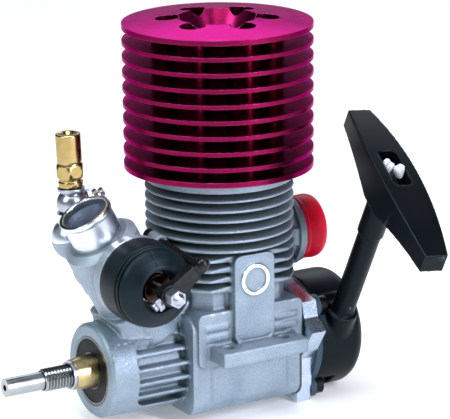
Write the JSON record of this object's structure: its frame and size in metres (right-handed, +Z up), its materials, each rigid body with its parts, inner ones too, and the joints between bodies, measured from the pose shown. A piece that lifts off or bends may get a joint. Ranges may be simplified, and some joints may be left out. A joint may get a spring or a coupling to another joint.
{
  "type": "model glow engine",
  "caption": "Small two-stroke model engine with a tall finned cooling head, slide carburettor with rubber boot, threaded output shaft, exhaust stub and a pull starter with T handle.",
  "frame": {"origin": "centre of the four lug holes, on the underside of the mounting lugs", "axes": "+Z up the cylinder, -Y along the crankshaft toward the output end, +X toward the throttle arm"},
  "size_m": [0.0955, 0.105, 0.11],
  "materials": {
    "cast_aluminium": "bead-blasted casting, fine grain",
    "plated_brass": "chromed bore, honed",
    "turned_aluminium": "turned",
    "anodised_head": "crimson-magenta anodised, turned",
    "nickel_steel": "bright nickel plate",
    "copper_shim": "soft copper shim",
    "black_steel": "black oxide",
    "bearing_steel": "ground",
    "seal_rubber": "matt black rubber",
    "ground_steel": "ground and turned",
    "brass": "turned brass",
    "bronze": "dark bronze",
    "polished_aluminium": "machined bright",
    "gasket_paper": "gasket paper",
    "black_plastic": "satin moulded nylon",
    "dark_nylon": "satin dark nylon",
    "nylon": "natural nylon",
    "spring_steel": "blued strip",
    "rope": "braided white cord",
    "boot_rubber": "satin dark rubber",
    "red_silicone": "satin silicone"
  },
  "bodies": {
    "root": {"crankcase": "cast_aluminium", "cylinder_liner": "plated_brass", "head_button": "turned_aluminium", "cooling_head": "anodised_head", "glow_plug": "nickel_steel", "head_gasket": "copper_shim", "head_screws": "black_steel", "front_bearing_outer": "bearing_steel", "front_bearing_balls": "bearing_steel", "front_bearing_seal": "seal_rubber", "rear_bearing_outer": "bearing_steel", "rear_bearing_balls": "bearing_steel", "backplate": "polished_aluminium", "backplate_gasket": "gasket_paper", "backplate_screws": "black_steel", "starter_base": "black_plastic", "starter_housing": "black_plastic", "starter_screws": "black_steel", "recoil_spring": "spring_steel", "carb_body": "cast_aluminium", "carb_oring": "seal_rubber", "carb_clamp_bolt": "nickel_steel", "needle_housing": "nickel_steel", "fuel_nipple": "nickel_steel", "exhaust_gasket": "gasket_paper", "exhaust_cap": "red_silicone", "throttle_boot": "boot_rubber"},
    "crank": {"crankshaft": "ground_steel", "front_bearing_inner": "bearing_steel", "rear_bearing_inner": "bearing_steel", "shaft_washer": "nickel_steel", "shaft_collet": "brass", "starter_shaft": "ground_steel"},
    "piston_group": {"piston": "turned_aluminium", "wrist_pin": "ground_steel", "wrist_pin_clips": "black_steel", "connecting_rod": "turned_aluminium", "crankpin": "ground_steel"},
    "throttle": {"throttle_slide": "ground_steel", "throttle_hub": "nickel_steel", "throttle_arm": "dark_nylon", "arm_screw": "nickel_steel", "boot_ring": "bronze"},
    "needle": {"main_needle": "brass"},
    "idle_screw": {"idle_stop_screw": "black_steel"},
    "spool": {"starter_spool": "nylon", "rope_coil": "rope", "one_way_bearing": "bearing_steel"},
    "handle": {"pull_handle": "black_plastic", "rope_knot": "rope", "starter_rope": "rope"}
  },
  "joints": [
    {"name": "crank_spin", "type": "hinge", "parent": "root", "child": "crank", "pos_m": [0, 0, -0.0026], "axis": [0, 1, 0], "continuous": true},
    {"name": "piston_stroke", "type": "slide", "parent": "root", "child": "piston_group", "axis": [0, 0, -1], "range_m": [0, 0.016]},
    {"name": "throttle_pull", "type": "slide", "parent": "root", "child": "throttle", "axis": [1, 0, 0], "range_m": [0, 0.0065], "deforming": ["throttle_boot"]},
    {"name": "needle_turn", "type": "hinge", "parent": "root", "child": "needle", "pos_m": [-0.012, -0.0391, 0.0378], "axis": [0, -0.0384, 0.9993], "range_deg": [-720, 720]},
    {"name": "idle_screw_turn", "type": "hinge", "parent": "root", "child": "idle_screw", "pos_m": [-0.008, -0.0229, 0.0341], "axis": [0.9861, 0.0828, -0.1444], "range_deg": [-360, 360]},
    {"name": "rope_pull", "type": "slide", "parent": "root", "child": "handle", "axis": [0.4664, 0, 0.8846], "range_m": [0, 0.3], "stiffness_N_per_m": 15, "springref_m": -0.1, "deforming": ["starter_rope"]},
    {"name": "spool_turn", "type": "hinge", "parent": "root", "child": "spool", "pos_m": [0, 0.03, -0.0026], "axis": [0, -1, 0], "range_deg": [0, 1745]}
  ],
  "couplings": [
    {"joint": "spool_turn", "follows": "rope_pull", "rad_per_m": 101.01}
  ]
}
